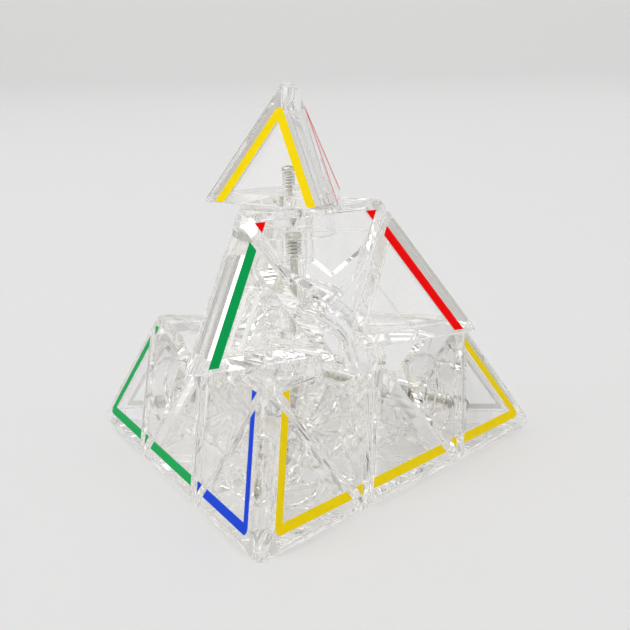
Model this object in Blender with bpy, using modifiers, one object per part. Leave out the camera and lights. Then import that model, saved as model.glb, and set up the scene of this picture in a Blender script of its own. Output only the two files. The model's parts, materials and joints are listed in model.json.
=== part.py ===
"""A clear pyramid twisty puzzle: core, four corner columns, four tips and six edge pieces.

Everything is laid out round the centre of a regular tetrahedron.  A corner axis runs from
that centre to each corner.  Along a corner axis, the tip is cut off a third of the way
down and the layer two thirds of the way down, so each piece is the tetrahedron sliced by
a few planes.  Inside a sphere round the centre, the feet of the edge pieces run under the
domed bottoms of the axial pieces, which is what holds the puzzle together.

Lengths below are in millimetres, and MM turns them into metres.
"""

import math

import bmesh
import bpy
from mathutils import Matrix, Vector

MM = 0.001

# ---------------------------------------------------------------- driving dimensions
EDGE = 104.0  # edge of the sharp tetrahedron; about 98 over its rounded corners
ROUND = 2.15  # rounding along the long edges and at the four corners
FACE_VERTEX_ROUND = 3.9  # rounding of the edge pieces' inner edges, seen at the face centres
AXIAL_VERTEX_ROUND = 2.5  # rounding of the axial pieces at the face centres
GAP = 0.2  # each piece stands back this far from a cut
CHAMFER = 0.45  # broken edges along the cuts
WALL = 1.6  # shell thickness

INRADIUS = EDGE * math.sqrt(6) / 12  # centre to a face
CORNER = 3 * INRADIUS  # centre to a corner
HEIGHT = 4 * INRADIUS
TIP_CUT = CORNER - HEIGHT / 3
LAYER_CUT = CORNER - 2 * HEIGHT / 3
LONG_EDGE = EDGE * math.sqrt(2) / 4  # centre to a long edge
INNER_EDGE = LAYER_CUT * math.sqrt(3)  # centre to the line where two layer cuts meet

TOP_LAYER_TURN = -24.35  # degrees from lined up with the base
TOP_TIP_TURN = -60.94  # degrees from lined up with the top layer

FOOT_IN, FOOT_OUT = 13.5, 17.0  # radii of an edge foot
DOME_IN, DOME_OUT = 17.5, 19.0  # radii of an axial piece's domed bottom
FOOT_GAP = 0.25

BLOCK_TOP, BLOCK_HALF = 24.0, 2.0  # the block of an edge foot: how far out, and half its thickness

CORE_R, ARM_R, ARM_END = 6.0, 3.0, 13.0
COLUMN_R, COLUMN_START, COLUMN_END = 4.2, 22.6, 29.4
STEM_R, STEM_START = 2.5, 13.3
SPRING_SEAT = 23.6
SCREW_R, SCREW_START, SCREW_NECK, SCREW_HEAD_R, SCREW_HEAD = 0.8, 5.2, 27.9, 1.7, 1.2
BORE_R, SPRING_BORE_R = 1.05, 2.3
WASHER_R, WASHER_AT = 1.9, 27.1
CAP_R, CAP_T, CAP_BOSS_R, CAP_BOSS_START = 8.0, 1.6, 4.2, 29.7
SKIRT_R, SKIRT_START, RIB, RIB_TOP = 9.4, 28.6, 0.6, 28.8
TIP_SCREW_START, TIP_SCREW_NECK, TIP_SCREW_HEAD_R, TIP_SCREW_HEAD = 30.2, 41.4, 1.5, 1.0
TIP_BASE_T, TIP_BOSS_R, TIP_BOSS_TOP = 1.8, 2.2, 38.0

UP = Vector((0, 0, 1))


def low_axis(azimuth):
    a = math.radians(azimuth)
    return Vector((math.cos(a) * math.sqrt(8) / 3, math.sin(a) * math.sqrt(8) / 3, -1 / 3))


AXES = {
    "top": UP,
    "front": low_axis(-90),
    "right": low_axis(30),
    "left": low_axis(150),
}

# ---------------------------------------------------------------- scene
for old in list(bpy.data.objects):
    bpy.data.objects.remove(old, do_unlink=True)

puzzle = bpy.data.collections.new("pyramid_puzzle")
cutters = bpy.data.collections.new("cutters")
bpy.context.scene.collection.children.link(puzzle)
bpy.context.scene.collection.children.link(cutters)
cutters.hide_render = True


def material(name, colour, roughness, metallic=0.0, clear=0.0, ior=1.5):
    made = bpy.data.materials.new(name)
    made.use_nodes = True
    shader = made.node_tree.nodes["Principled BSDF"]
    shader.inputs["Base Color"].default_value = (*colour, 1)
    shader.inputs["Roughness"].default_value = roughness
    shader.inputs["Metallic"].default_value = metallic
    shader.inputs["Transmission Weight"].default_value = clear
    shader.inputs["IOR"].default_value = ior
    return made


CLEAR = material("clear_plastic", (0.96, 0.97, 0.97), 0.03, clear=1.0, ior=1.55)
CLEAR_CORE = material("clear_core_plastic", (0.93, 0.94, 0.94), 0.08, clear=1.0, ior=1.55)
STEEL = material("screw_steel", (0.62, 0.62, 0.60), 0.28, metallic=1.0)
SPRING_STEEL = material("spring_steel", (0.75, 0.75, 0.76), 0.2, metallic=1.0)


# ---------------------------------------------------------------- making solids
def as_object(name, mesh):
    made = bpy.data.objects.new(name, mesh)
    cutters.objects.link(made)
    made.hide_render = True
    made.display_type = "WIRE"
    return made


def from_bmesh(name, bm):
    bmesh.ops.recalc_face_normals(bm, faces=bm.faces)
    mesh = bpy.data.meshes.new(name)
    bm.to_mesh(mesh)
    bm.free()
    return as_object(name, mesh)


def sliced(name, planes):
    """A block sliced by planes: what is left where normal . point <= distance, for each (normal, distance)."""
    bm = bmesh.new()
    bmesh.ops.create_cube(bm, size=400 * MM)
    for normal, distance in planes:
        normal = Vector(normal).normalized()
        bmesh.ops.bisect_plane(
            bm,
            geom=bm.verts[:] + bm.edges[:] + bm.faces[:],
            dist=1e-8,
            plane_co=normal * distance * MM,
            plane_no=normal,
            clear_outer=True,
        )
        rim = [e for e in bm.edges if e.is_boundary]
        if rim:
            bmesh.ops.holes_fill(bm, edges=rim, sides=0)
    bmesh.ops.remove_doubles(bm, verts=bm.verts[:], dist=2e-6)
    bmesh.ops.dissolve_degenerate(bm, dist=1e-6, edges=bm.edges[:])
    return from_bmesh(name, bm)


def cylinder(name, radius, start, end, sides=24):
    """A round bar along +Z from start to end."""
    bm = bmesh.new()
    bmesh.ops.create_cone(
        bm,
        cap_ends=True,
        segments=sides,
        radius1=radius * MM,
        radius2=radius * MM,
        depth=(end - start) * MM,
        matrix=Matrix.Translation((0, 0, (start + end) / 2 * MM)),
    )
    return from_bmesh(name, bm)


def ball(name, radius, sides=24, rings=16):
    bm = bmesh.new()
    bmesh.ops.create_uvsphere(bm, u_segments=sides, v_segments=rings, radius=radius * MM)
    return from_bmesh(name, bm)


def baked(obj):
    """The mesh of an object with its modifiers worked in."""
    bpy.context.view_layer.update()
    graph = bpy.context.evaluated_depsgraph_get()
    mesh = bpy.data.meshes.new_from_object(obj.evaluated_get(graph))
    mesh.transform(obj.matrix_world)
    return mesh


def combine(target, other, operation):
    """Cuts other from target, or joins or intersects them, and drops other."""
    step = target.modifiers.new(operation.lower(), "BOOLEAN")
    step.operation = operation
    step.solver = "EXACT"
    step.object = other
    mesh = baked(target)
    target.modifiers.clear()
    target.data = mesh
    target.matrix_world = Matrix.Identity(4)
    bpy.data.objects.remove(other, do_unlink=True)
    return target


def cut(target, other):
    return combine(target, other, "DIFFERENCE")


def join(target, other):
    return combine(target, other, "UNION")


def turned(name, profile, steps=16):
    """A solid turned about Z from (radius, height) points that start and end on the axis, run down the outer side."""
    mesh = bpy.data.meshes.new(name)
    bm = bmesh.new()
    points = [bm.verts.new((r * MM, 0, z * MM)) for r, z in profile]
    for a, b in zip(points, points[1:]):
        bm.edges.new((a, b))
    bm.to_mesh(mesh)
    bm.free()
    made = as_object(name, mesh)
    turn = made.modifiers.new("turn", "SCREW")
    turn.axis = "Z"
    turn.angle = math.tau
    turn.steps = turn.render_steps = steps
    turn.use_merge_vertices = True
    turn.merge_threshold = 1e-6
    turn.use_normal_calculate = True
    mesh = baked(made)
    made.modifiers.clear()
    made.data = mesh
    bm = bmesh.new()
    bm.from_mesh(mesh)
    bmesh.ops.remove_doubles(bm, verts=bm.verts[:], dist=1e-6)
    bmesh.ops.recalc_face_normals(bm, faces=bm.faces[:])
    bm.to_mesh(mesh)
    bm.free()
    return made


def coil(name, radius, wire, start, end, turns, points_per_turn=8):
    """A compression spring about Z, with its last half turn at each end closed down flat."""
    low, high = start + wire, end - wire
    count = int(turns * points_per_turn) + 1
    curve = bpy.data.curves.new(name, "CURVE")
    curve.dimensions = "3D"
    curve.bevel_depth = wire * MM
    curve.bevel_resolution = 1
    curve.use_fill_caps = True
    line = curve.splines.new("POLY")
    line.points.add(count - 1)
    for i in range(count):
        turn = i / points_per_turn
        share = min(max((turn - 0.5) / (turns - 1.0), 0.0), 1.0)
        closed = wire * 1.1
        height = low + (high - low) * share
        height += closed * min(turn / 0.5, 1.0) * (1 - share) * 0.5
        height -= closed * min((turns - turn) / 0.5, 1.0) * share * 0.5
        angle = math.tau * turn
        line.points[i].co = (
            radius * math.cos(angle) * MM,
            radius * math.sin(angle) * MM,
            height * MM,
            1,
        )
    made = bpy.data.objects.new(name, curve)
    cutters.objects.link(made)
    mesh = baked(made)
    bpy.data.objects.remove(made, do_unlink=True)
    bm = bmesh.new()
    bm.from_mesh(mesh)
    bmesh.ops.remove_doubles(bm, verts=bm.verts[:], dist=1e-7)
    bmesh.ops.recalc_face_normals(bm, faces=bm.faces[:])
    bm.to_mesh(mesh)
    bm.free()
    return as_object(name, mesh)


# ---------------------------------------------------------------- planes of the puzzle
LOW = [AXES["front"], AXES["right"], AXES["left"]]


def long_edge_rounding(a, b, steps=(-0.5, 0.0, 0.5), inset=0.0):
    """Planes that touch the rounding of the long edge between corner axes a and b."""
    out = (a + b).normalized()
    side = out.cross((a - b).normalized())
    radius = ROUND - inset
    at = LONG_EDGE - math.sqrt(3) * ROUND
    planes = []
    for step in steps:
        lean = math.radians(54.7356 * step * 1.33)
        normal = out * math.cos(lean) + side * math.sin(lean)
        planes.append((normal, math.cos(lean) * at + radius))
    return planes


def broken_edge(first, second, width):
    """The plane that takes a chamfer off the edge between two planes."""
    (n1, d1), (n2, d2) = first, second
    n1, n2 = Vector(n1).normalized(), Vector(n2).normalized()
    normal = (n1 + n2).normalized()
    spread = (n1 + n2).length
    along = (d1 + d2) / spread  # where the sharp edge lies along the normal
    half = math.acos(min(max(n1.dot(n2), -1), 1)) / 2
    return normal, along - width * math.sin(half)


def outer_faces(axes, inset=0.0):
    return [(-n, INRADIUS - inset) for n in axes]


def shaft_to(axis):
    """Turns +Z to a corner axis in one of the tetrahedron's own rotations."""
    if (axis - UP).length < 1e-6:
        return Matrix.Identity(3)
    spare = next(n for n in LOW if (n - axis).length > 1e-6)
    third = next(n for n in LOW if (n - axis).length > 1e-6 and (n - spare).length > 1e-6)
    # top -> axis, axis -> top, and the other two change places: a half turn.
    out = (UP + axis).normalized()
    return Matrix.Rotation(math.pi, 3, out)


def rounded_vertex(n):
    """Planes square to the face opposite corner axis n that round the axial piece's corner at its centre."""
    inward = (UP + n / 3).normalized()
    side = n.cross(inward)
    centre = inward * AXIAL_VERTEX_ROUND * 2
    planes = []
    for lean in (-40, 0, 40):
        lean = math.radians(lean)
        normal = -inward * math.cos(lean) + side * math.sin(lean)
        planes.append((normal, normal.dot(centre) + AXIAL_VERTEX_ROUND))
    return planes


# ---------------------------------------------------------------- axial piece and its cap
def make_axial():
    sides = outer_faces(LOW)
    cuts = [(n, LAYER_CUT - GAP) for n in LOW]
    top = (UP, TIP_CUT - GAP)
    bottom = (-UP, -(LAYER_CUT + GAP))
    planes = sides + cuts + [top, bottom]
    planes += [broken_edge(s, top, CHAMFER) for s in sides]
    for i, s in enumerate(sides):
        planes += [broken_edge(s, c, CHAMFER) for j, c in enumerate(cuts) if j != i]
    for n in LOW:
        planes += long_edge_rounding(UP, n)
        planes += rounded_vertex(n)
    body = sliced("axial", planes)

    hollow = sliced(
        "axial_hollow",
        outer_faces(LOW, WALL)
        + [(n, LAYER_CUT - GAP - WALL) for n in LOW]
        + [(UP, TIP_CUT - GAP - WALL), (-UP, -(LAYER_CUT + GAP + WALL))],
    )
    cut(hollow, ball("dome", DOME_OUT, 22, 14))
    cut(hollow, cylinder("column_core", COLUMN_R - 0.4, COLUMN_START + 0.4, COLUMN_END - 0.4, 12))
    cut(hollow, cylinder("stem_core", STEM_R - 0.4, 10, COLUMN_START + 2, 12))
    skirt = cylinder("skirt", SKIRT_R, SKIRT_START, 60, 28)
    cut(skirt, cylinder("skirt_inside", CAP_R + 0.35, SKIRT_START - 1, 61, 28))
    cut(hollow, skirt)
    for azimuth in (-90, 30, 150):
        rib = sliced(
            "rib",
            [
                (Vector((-1, 0, 0)), -1.0),
                (Vector((1, 0, 0)), 40),
                (Vector((0, 1, 0)), RIB),
                (Vector((0, -1, 0)), RIB),
                (UP, RIB_TOP),
                (-UP, 0),
            ],
        )
        rib.matrix_world = Matrix.Rotation(math.radians(azimuth), 4, "Z")
        cut(hollow, rib)
    cut(body, hollow)
    cut(body, ball("dome_inside", DOME_IN, 22, 14))
    join(body, cylinder("column", COLUMN_R, COLUMN_START, COLUMN_END, 20))
    join(body, cylinder("stem", STEM_R, STEM_START, COLUMN_START + 1, 20))
    cut(body, cylinder("column_bore", BORE_R, STEM_START - 2, COLUMN_END + 2, 12))
    cut(body, cylinder("spring_bore", SPRING_BORE_R, SPRING_SEAT, COLUMN_END + 2, 16))
    cut(body, cylinder("cap_hole", CAP_R + 0.35, COLUMN_END + 1.5, TIP_CUT + 2, 28))
    return body


def make_axial_cap():
    top = TIP_CUT - GAP
    body = cylinder("cap_disc", CAP_R, top - CAP_T, top, 28)
    join(body, cylinder("cap_boss", CAP_BOSS_R, CAP_BOSS_START, top - 0.5, 20))
    cut(body, cylinder("cap_bore", BORE_R, 28, top + 2, 12))
    return body


# ---------------------------------------------------------------- tip
def make_tip():
    sides = outer_faces(LOW)
    bottom = (-UP, -(TIP_CUT + GAP))
    planes = sides + [bottom]
    planes += [broken_edge(s, bottom, CHAMFER) for s in sides]
    for n in LOW:
        planes += long_edge_rounding(UP, n)
    at = CORNER - 3 * ROUND
    planes.append((UP, at + ROUND))
    for n in LOW:
        lean = (UP * 1.5 - n).normalized()  # between the axis and an outer face
        planes.append((lean, lean.dot(UP) * at + ROUND))
    body = sliced("tip", planes)
    hollow = sliced(
        "tip_hollow",
        outer_faces(LOW, WALL) + [(-UP, -(TIP_CUT - 3)), (UP, CORNER - 10.5)],
    )
    return cut(body, hollow)


def make_tip_base():
    plate = outer_faces(LOW, WALL + 0.3) + [
        (-UP, -(TIP_CUT + GAP)),
        (UP, TIP_CUT + GAP + TIP_BASE_T),
    ]
    body = sliced("tip_base", plate)
    join(body, cylinder("tip_boss", TIP_BOSS_R, TIP_CUT + 0.6, TIP_BOSS_TOP, 16))
    cut(body, cylinder("tip_bore", BORE_R, TIP_CUT - 2, TIP_BOSS_TOP + 2, 12))
    return body


# ---------------------------------------------------------------- edge piece
# Its own frame: X out through the middle of the long edge, Y along that edge, Z across it.
def edge_planes(inset=0.0, gap=GAP):
    s2 = math.sqrt(2)
    cuts = [
        (Vector((-1, side * s2, 0)), -(LAYER_CUT + gap + inset)) for side in (-1, 1)
    ]
    faces = [(Vector((1, 0, side * s2)), INRADIUS - inset) for side in (-1, 1)]
    return cuts, faces


def make_edge_shell():
    cuts, faces = edge_planes()
    planes = cuts + faces
    planes += [broken_edge(c, f, CHAMFER) for c in cuts for f in faces]
    at = LONG_EDGE - math.sqrt(3) * ROUND
    for step in (-0.665, 0.0, 0.665):
        lean = math.radians(54.7356 * step)
        normal = Vector((math.cos(lean), 0, math.sin(lean)))
        planes.append((normal, math.cos(lean) * at + ROUND))
    inner = INNER_EDGE + GAP * math.sqrt(3) + math.sqrt(3) * FACE_VERTEX_ROUND
    for step in (-0.55, 0.55):
        lean = math.radians(54.7356 * step)
        normal = Vector((-math.cos(lean), math.sin(lean), 0))
        planes.append((normal, -math.cos(lean) * inner + FACE_VERTEX_ROUND))
    body = sliced("edge_shell", planes)
    cuts, faces = edge_planes(inset=WALL)
    cut(body, sliced("edge_hollow", cuts + faces))
    slot = [
        (Vector((1, 0, 0)), BLOCK_TOP + 0.3),
        (Vector((-1, 0, 0)), 0),
        (Vector((0, 1, 0)), 30),
        (Vector((0, -1, 0)), 30),
        (Vector((0, 0, 1)), BLOCK_HALF + 0.3),
        (Vector((0, 0, -1)), BLOCK_HALF + 0.3),
    ]
    cut(body, sliced("edge_slot", slot))
    cut(body, ball("edge_clearance", DOME_IN, 24, 16))
    return body


def make_edge_foot():
    s2 = math.sqrt(2)
    body = ball("foot", FOOT_OUT, 24, 16)
    cut(body, ball("foot_inside", FOOT_IN, 24, 16))
    wedge = [(Vector((-1, side * s2, 0)), -FOOT_GAP) for side in (-1, 1)]
    wedge += [(Vector((-1, 0, side * s2)), -FOOT_GAP) for side in (-1, 1)]
    wedge += [(Vector((0, 0, side)), 7.2) for side in (-1, 1)]
    combine(body, sliced("foot_wedge", wedge), "INTERSECT")
    cuts, _ = edge_planes(gap=GAP + 0.05)
    block = cuts + [
        (Vector((1, 0, 0)), BLOCK_TOP),
        (Vector((-1, 0, 0)), -14.2),
        (Vector((0, 1, 0)), 8.2),
        (Vector((0, -1, 0)), 8.2),
        (Vector((0, 0, 1)), BLOCK_HALF),
        (Vector((0, 0, -1)), BLOCK_HALF),
    ]
    join(body, sliced("block", block))
    cuts, _ = edge_planes(gap=GAP + 1.5)
    pocket = cuts + [
        (Vector((1, 0, 0)), BLOCK_TOP + 3),
        (Vector((-1, 0, 0)), -18.8),
        (Vector((0, 1, 0)), 6.9),
        (Vector((0, -1, 0)), 6.9),
        (Vector((0, 0, 1)), BLOCK_HALF - 1.1),
        (Vector((0, 0, -1)), BLOCK_HALF - 1.1),
    ]
    cut(body, sliced("pocket", pocket))
    return body


# ---------------------------------------------------------------- core and metal pieces
def make_core():
    body = ball("core", CORE_R, 16, 10)
    for axis in AXES.values():
        arm = cylinder("arm", ARM_R, 1.0, ARM_END, 16)
        arm.matrix_world = shaft_to(axis).to_4x4()
        join(body, arm)
    for axis in AXES.values():
        bore = cylinder("arm_bore", BORE_R, 4.4, ARM_END + 2, 12)
        bore.matrix_world = shaft_to(axis).to_4x4()
        cut(body, bore)
    return body


def make_screw(name, start, neck, head_r, head):
    body = turned(
        name,
        [
            (0, neck + head),
            (head_r * 0.72, neck + head * 0.95),
            (head_r, neck + head * 0.55),
            (head_r, neck),
            (SCREW_R, neck),
            (SCREW_R, start + 1.4),
            (0, start),
        ],
        12,
    )
    for turn in (0, math.pi / 2):
        bar = sliced(
            "recess",
            [
                (Vector((1, 0, 0)), head_r * 0.55),
                (Vector((-1, 0, 0)), head_r * 0.55),
                (Vector((0, 1, 0)), 0.35),
                (Vector((0, -1, 0)), 0.35),
                (Vector((0, 0, 1)), neck + head + 1),
                (Vector((0, 0, -1)), -(neck + head * 0.45)),
            ],
        )
        bar.matrix_world = Matrix.Rotation(turn, 4, "Z")
        cut(body, bar)
    return body


def make_washer():
    body = cylinder("washer", WASHER_R, WASHER_AT, WASHER_AT + 0.5, 14)
    return cut(body, cylinder("washer_hole", BORE_R, WASHER_AT - 1, WASHER_AT + 1, 12))


# ---------------------------------------------------------------- placing
def empty(name, parent, matrix):
    made = bpy.data.objects.new(name, None)
    made.empty_display_size = 10 * MM
    puzzle.objects.link(made)
    made.parent = parent
    made.matrix_basis = matrix
    return made


def place(name, mesh, finish, parent, matrix=None, smooth=30):
    made = bpy.data.objects.new(name, mesh)
    puzzle.objects.link(made)
    made.parent = parent
    made.matrix_basis = matrix if matrix is not None else Matrix.Identity(4)
    if not mesh.materials:
        mesh.materials.append(finish)
        mesh.shade_smooth()
        mesh.set_sharp_from_angle(angle=math.radians(smooth))
    return made


def mesh_of(obj):
    mesh = obj.data
    mesh.materials.clear()
    bpy.data.objects.remove(obj, do_unlink=True)
    return mesh


origin = empty("puzzle_origin", None, Matrix.Identity(4))
base = empty("base_layer", origin, Matrix.Translation((0, 0, INRADIUS * MM)))
top_layer = empty(
    "top_layer_axis", base, Matrix.Rotation(math.radians(TOP_LAYER_TURN), 4, "Z")
)

axial = mesh_of(make_axial())
axial_cap = mesh_of(make_axial_cap())
tip = mesh_of(make_tip())
tip_base = mesh_of(make_tip_base())
edge_shell = mesh_of(make_edge_shell())
edge_foot = mesh_of(make_edge_foot())
core = mesh_of(make_core())
screw = mesh_of(make_screw("screw", SCREW_START, SCREW_NECK, SCREW_HEAD_R, SCREW_HEAD))
tip_screw = mesh_of(
    make_screw("tip_screw", TIP_SCREW_START, TIP_SCREW_NECK, TIP_SCREW_HEAD_R, TIP_SCREW_HEAD)
)
washer = mesh_of(make_washer())
spring = mesh_of(coil("spring", 1.45, 0.2, SPRING_SEAT + 0.3, WASHER_AT - 0.3, 4))
tip_spring = mesh_of(coil("tip_spring", 1.2, 0.17, TIP_BOSS_TOP + 0.3, TIP_SCREW_NECK - 0.3, 5))

place("core", core, CLEAR_CORE, base)

for corner, axis in AXES.items():
    turn = shaft_to(axis).to_4x4()
    layer = top_layer if corner == "top" else base
    twist = TOP_TIP_TURN if corner == "top" else 0.0
    tip_axis = empty(
        f"{corner}_tip_axis", layer, turn @ Matrix.Rotation(math.radians(twist), 4, "Z")
    )
    place(f"{corner}_axial", axial, CLEAR, layer, turn)
    place(f"{corner}_axial_cap", axial_cap, CLEAR, layer, turn)
    place(f"{corner}_screw", screw, STEEL, base, turn)
    place(f"{corner}_spring", spring, SPRING_STEEL, base, turn)
    place(f"{corner}_washer", washer, STEEL, base, turn)
    place(f"{corner}_tip", tip, CLEAR, tip_axis)
    place(f"{corner}_tip_base", tip_base, CLEAR, tip_axis)
    place(f"{corner}_tip_screw", tip_screw, STEEL, layer, turn)
    place(f"{corner}_tip_spring", tip_spring, SPRING_STEEL, layer, turn)

PAIRS = [
    ("top", "front"),
    ("top", "right"),
    ("top", "left"),
    ("front", "right"),
    ("right", "left"),
    ("left", "front"),
]
for first, second in PAIRS:
    a, b = AXES[first], AXES[second]
    out, along = (a + b).normalized(), (a - b).normalized()
    across = out.cross(along)
    turn = Matrix((out, along, across)).transposed().to_4x4()
    layer = top_layer if first == "top" else base
    place(f"{first}_{second}_edge", edge_shell, CLEAR, layer, turn)
    place(f"{first}_{second}_edge_foot", edge_foot, CLEAR, layer, turn)

# ---------------------------------------------------------------- origin under the middle of the box
bpy.context.view_layer.update()
low, high = Vector((1, 1, 1)), Vector((-1, -1, -1))
for obj in puzzle.objects:
    if obj.type == "MESH":
        for v in obj.data.vertices:
            p = obj.matrix_world @ v.co
            low = Vector(map(min, low, p))
            high = Vector(map(max, high, p))
origin.location = (-(low.x + high.x) / 2, -(low.y + high.y) / 2, -low.z)
bpy.context.view_layer.update()
print("turn axis at", tuple(round(c, 6) for c in origin.location), "size", tuple(round(c, 5) for c in high - low))
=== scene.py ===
"""Looks for the clear pyramid twisty puzzle: smooth clear shells, printed outline stripes, threaded screws and springs."""

import json
import math

import bmesh
import bpy
from mathutils import Matrix, Vector

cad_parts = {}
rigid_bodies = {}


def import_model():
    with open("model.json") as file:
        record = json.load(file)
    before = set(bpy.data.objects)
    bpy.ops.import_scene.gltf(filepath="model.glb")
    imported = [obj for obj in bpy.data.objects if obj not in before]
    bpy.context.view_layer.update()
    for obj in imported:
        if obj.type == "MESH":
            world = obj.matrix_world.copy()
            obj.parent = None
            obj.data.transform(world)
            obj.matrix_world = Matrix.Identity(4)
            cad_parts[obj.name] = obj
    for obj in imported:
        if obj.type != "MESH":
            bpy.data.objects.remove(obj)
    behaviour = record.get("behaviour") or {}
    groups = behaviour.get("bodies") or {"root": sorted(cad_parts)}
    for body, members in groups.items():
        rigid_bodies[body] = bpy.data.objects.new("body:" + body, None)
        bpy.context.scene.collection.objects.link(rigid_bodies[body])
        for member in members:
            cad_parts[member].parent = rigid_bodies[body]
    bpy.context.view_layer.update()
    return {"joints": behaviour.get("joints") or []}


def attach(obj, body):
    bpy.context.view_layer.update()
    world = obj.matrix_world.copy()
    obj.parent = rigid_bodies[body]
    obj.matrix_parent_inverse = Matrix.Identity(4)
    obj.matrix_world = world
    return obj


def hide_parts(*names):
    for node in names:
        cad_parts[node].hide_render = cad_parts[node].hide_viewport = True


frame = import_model()

MM = 0.001
EDGE = 104.0
ROUND = 2.15
GAP = 0.2
RIM = 0.42
WALL = 1.7
SOLID_EDGE = 31.2  # how far out towards a long edge the hollows reach
EDGE_VERTEX_ROUND = 3.9
AXIAL_VERTEX_ROUND = 2.5

INRADIUS = EDGE * math.sqrt(6) / 12
CORNER = 3 * INRADIUS
HEIGHT = 4 * INRADIUS
TIP_CUT = CORNER - HEIGHT / 3
LAYER_CUT = CORNER - 2 * HEIGHT / 3
LONG_EDGE = EDGE * math.sqrt(2) / 4
INNER_EDGE = LAYER_CUT * math.sqrt(3)
FACE_H = EDGE * math.sqrt(3) / 2

TOP_LAYER_TURN = -24.35
TOP_TIP_TURN = -60.94

FOOT_IN, FOOT_OUT, FOOT_GAP = 13.5, 17.0, 0.25
DOME_IN, DOME_OUT = 17.5, 19.0
CORE_R, ARM_R, ARM_END = 6.0, 3.0, 13.0
COLUMN_R, COLUMN_START, COLUMN_END = 4.2, 22.6, 29.4
STEM_R, STEM_START = 2.5, 13.3
SPRING_SEAT = 23.6
SCREW_R, SCREW_START, SCREW_NECK, SCREW_HEAD_R, SCREW_HEAD = 0.8, 5.2, 27.9, 1.7, 1.2
BORE_R, SPRING_BORE_R = 1.05, 2.3
WASHER_R, WASHER_AT = 1.9, 27.1
CAP_R, CAP_T, CAP_BOSS_R, CAP_BOSS_START = 8.0, 1.6, 4.2, 29.7
SKIRT_R, SKIRT_START, RIB, RIB_TOP = 9.4, 28.6, 0.6, 28.8
TIP_SCREW_START, TIP_SCREW_NECK, TIP_SCREW_HEAD_R, TIP_SCREW_HEAD = 30.2, 41.4, 1.5, 1.0
TIP_BASE_T, TIP_BOSS_R, TIP_BOSS_TOP = 1.8, 2.2, 38.0
BLOCK_TOP, BLOCK_HALF = 24.0, 2.0

UP = Vector((0, 0, 1))


def low_axis(azimuth):
    a = math.radians(azimuth)
    return Vector((math.cos(a) * math.sqrt(8) / 3, math.sin(a) * math.sqrt(8) / 3, -1 / 3))


AXES = {"top": UP, "front": low_axis(-90), "right": low_axis(30), "left": low_axis(150)}
LOW = [AXES["front"], AXES["right"], AXES["left"]]
AXIS_AT = Vector(next(j for j in frame["joints"] if j["name"] == "top_layer_turn")["pos_m"])


# ================================================================ materials
def nodes_of(name):
    made = bpy.data.materials.new(name)
    made.use_nodes = True
    tree = made.node_tree
    shader = tree.nodes["Principled BSDF"]
    return made, tree, shader


def noise_to(tree, scale, detail, low, high, socket, rough=0.5):
    """Object-space noise between low and high into a socket."""
    where = tree.nodes.new("ShaderNodeTexCoord")
    noise = tree.nodes.new("ShaderNodeTexNoise")
    noise.inputs["Scale"].default_value = scale
    noise.inputs["Detail"].default_value = detail
    noise.inputs["Roughness"].default_value = rough
    span = tree.nodes.new("ShaderNodeMapRange")
    span.inputs["From Min"].default_value = 0.35
    span.inputs["From Max"].default_value = 0.7
    span.inputs["To Min"].default_value = low
    span.inputs["To Max"].default_value = high
    tree.links.new(where.outputs["Object"], noise.inputs["Vector"])
    tree.links.new(noise.outputs["Fac"], span.inputs["Value"])
    tree.links.new(span.outputs["Result"], socket)
    return noise


def bump_to(tree, shader, scale, strength, distance, detail=2.0):
    where = tree.nodes.new("ShaderNodeTexCoord")
    noise = tree.nodes.new("ShaderNodeTexNoise")
    noise.inputs["Scale"].default_value = scale
    noise.inputs["Detail"].default_value = detail
    bump = tree.nodes.new("ShaderNodeBump")
    bump.inputs["Strength"].default_value = strength
    bump.inputs["Distance"].default_value = distance
    tree.links.new(where.outputs["Object"], noise.inputs["Vector"])
    tree.links.new(noise.outputs["Fac"], bump.inputs["Height"])
    tree.links.new(bump.outputs["Normal"], shader.inputs["Normal"])


def clear_plastic(name, tint, shade, ior=1.49, rough=(0.0, 0.03)):
    """Clear moulded plastic: smooth with a faint flow ripple, and it lets lamps through with little shade."""
    made, tree, shader = nodes_of(name)
    shader.inputs["Base Color"].default_value = (*tint, 1)
    shader.inputs["Transmission Weight"].default_value = 1.0
    shader.inputs["IOR"].default_value = ior
    noise_to(tree, 90, 3, rough[0], rough[1], shader.inputs["Roughness"])
    bump_to(tree, shader, 16, 0.05, 0.0002)
    through = tree.nodes.new("ShaderNodeBsdfTransparent")
    through.inputs["Color"].default_value = (*shade, 1)
    path = tree.nodes.new("ShaderNodeLightPath")
    either = tree.nodes.new("ShaderNodeMath")
    either.operation = "MAXIMUM"
    mix = tree.nodes.new("ShaderNodeMixShader")
    out = tree.nodes["Material Output"]
    tree.links.new(path.outputs["Is Shadow Ray"], either.inputs[0])
    tree.links.new(path.outputs["Is Diffuse Ray"], either.inputs[1])
    long_way = tree.nodes.new("ShaderNodeMath")
    long_way.operation = "GREATER_THAN"
    long_way.inputs[1].default_value = 14.5
    tree.links.new(path.outputs["Ray Depth"], long_way.inputs[0])
    tree.links.new(either.outputs[0], mix.inputs[0])
    out_again = tree.nodes.new("ShaderNodeBsdfTransparent")
    out_again.inputs["Color"].default_value = (0.985, 0.98, 0.97, 1)
    last = tree.nodes.new("ShaderNodeMixShader")
    tree.links.new(shader.outputs[0], mix.inputs[1])
    tree.links.new(through.outputs[0], mix.inputs[2])
    tree.links.new(long_way.outputs[0], last.inputs[0])
    tree.links.new(mix.outputs[0], last.inputs[1])
    tree.links.new(out_again.outputs[0], last.inputs[2])
    tree.links.new(last.outputs[0], out.inputs["Surface"])
    return made


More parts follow.
